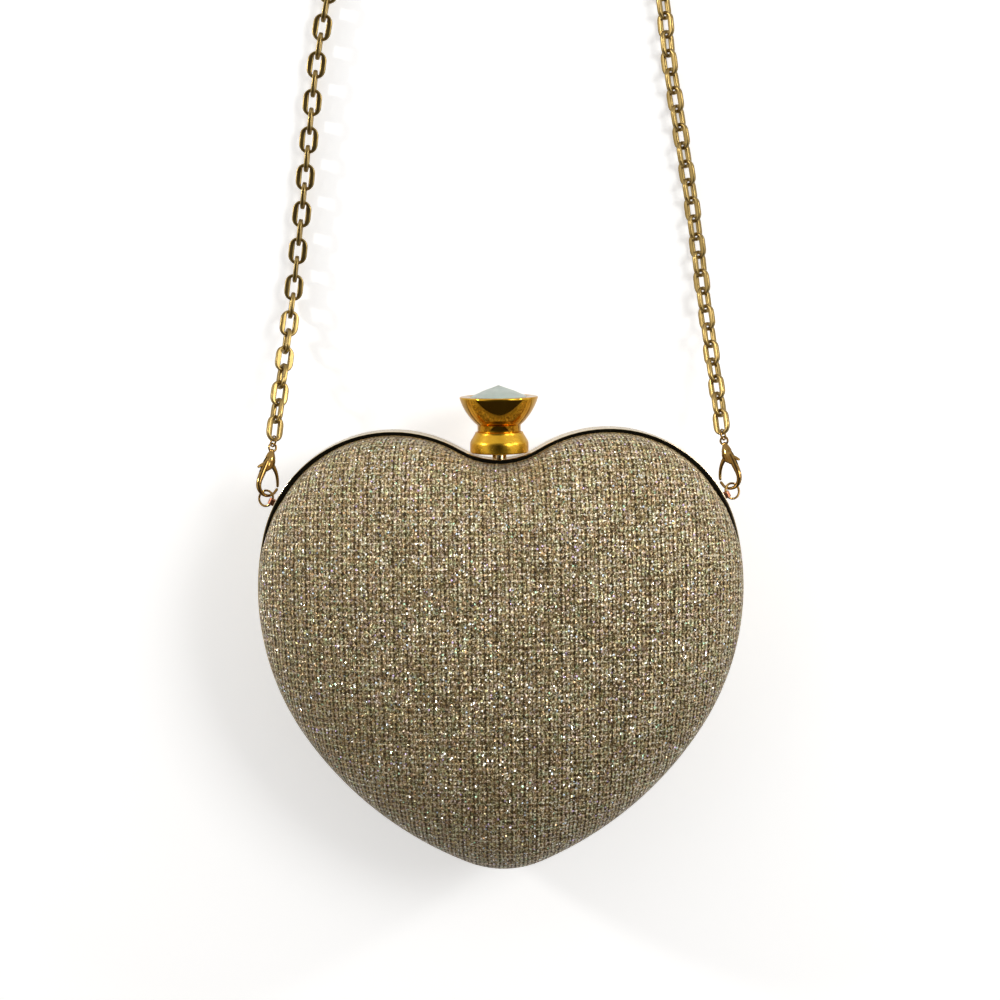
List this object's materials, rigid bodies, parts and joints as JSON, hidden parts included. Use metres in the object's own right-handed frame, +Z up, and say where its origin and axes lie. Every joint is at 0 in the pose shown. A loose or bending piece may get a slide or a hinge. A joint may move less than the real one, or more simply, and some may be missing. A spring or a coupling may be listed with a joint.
{
  "type": "heart shaped purse",
  "caption": "heart shaped evening purse with domed glittering halves, a gilt rim, a press knob latch with a crystal and a chain strap on spring clasps",
  "frame": {"origin": "centre of the flat on the back that the purse lies on", "axes": "+Z up out of the front, +Y from the hinge at the tip to the knob in the dip, +X to the right seen from the front"},
  "size_m": [0.182, 0.4696, 0.06],
  "materials": {
    "gilt": "polished gilt metal of the frames, knob and collar",
    "chain": "satin gilt metal of the chain and the clasps",
    "steel": "bare steel pins, spring and latch",
    "cloth": "woven metallic glitter cloth",
    "board": "moulded shell under the cloth",
    "lining": "satin lining",
    "crystal": "faceted clear crystal"
  },
  "bodies": {
    "purse_back": {"back_frame": "gilt", "back_shell": "board", "back_cover": "cloth", "back_lining": "lining", "back_hinge": "gilt", "hinge_pin": "steel", "knob_collar": "gilt", "knob_spring": "steel", "left_lug": "gilt", "right_lug": "gilt", "left_ring": "chain", "right_ring": "chain", "left_clasp": "chain", "left_rivet": "steel", "left_end_ring": "chain", "right_clasp": "chain", "right_rivet": "steel", "right_end_ring": "chain", "chain_left": "chain", "chain_right": "chain", "chain_coil_in": "chain", "chain_coil_out": "chain"},
    "purse_front": {"front_frame": "gilt", "front_shell": "board", "front_cover": "cloth", "front_lining": "lining", "front_hinge": "gilt", "catch_plate": "steel"},
    "knob": {"knob_cup": "gilt", "knob_crystal": "crystal", "knob_stem": "steel", "latch_hook": "steel", "stem_nut": "steel"},
    "left_lever_body": {"left_lever": "chain"},
    "right_lever_body": {"right_lever": "chain"}
  },
  "joints": [
    {"name": "front_opening", "type": "hinge", "parent": "purse_back", "child": "purse_front", "pos_m": [0, -0.08134, 0.03], "axis": [1, 0, 0], "range_deg": [0, 100]},
    {"name": "knob_press", "type": "slide", "parent": "purse_back", "child": "knob", "axis": [0, -1, 0], "range_m": [0, 0.002], "stiffness_N_per_m": 600, "springref_m": -0.001, "deforming": ["knob_spring"]},
    {"name": "left_lever_swing", "type": "hinge", "parent": "purse_back", "child": "left_lever_body", "pos_m": [-0.08569, 0.07212, 0.02361], "axis": [-0.5533, -0.1294, -0.8229], "range_deg": [0, 15], "stiffness_Nm_per_rad": 0.002, "springref_deg": -5.73},
    {"name": "right_lever_swing", "type": "hinge", "parent": "purse_back", "child": "right_lever_body", "pos_m": [0.08569, 0.07212, 0.02361], "axis": [-0.5533, 0.1294, 0.8229], "range_deg": [0, 15], "stiffness_Nm_per_rad": 0.002, "springref_deg": -5.73}
  ]
}
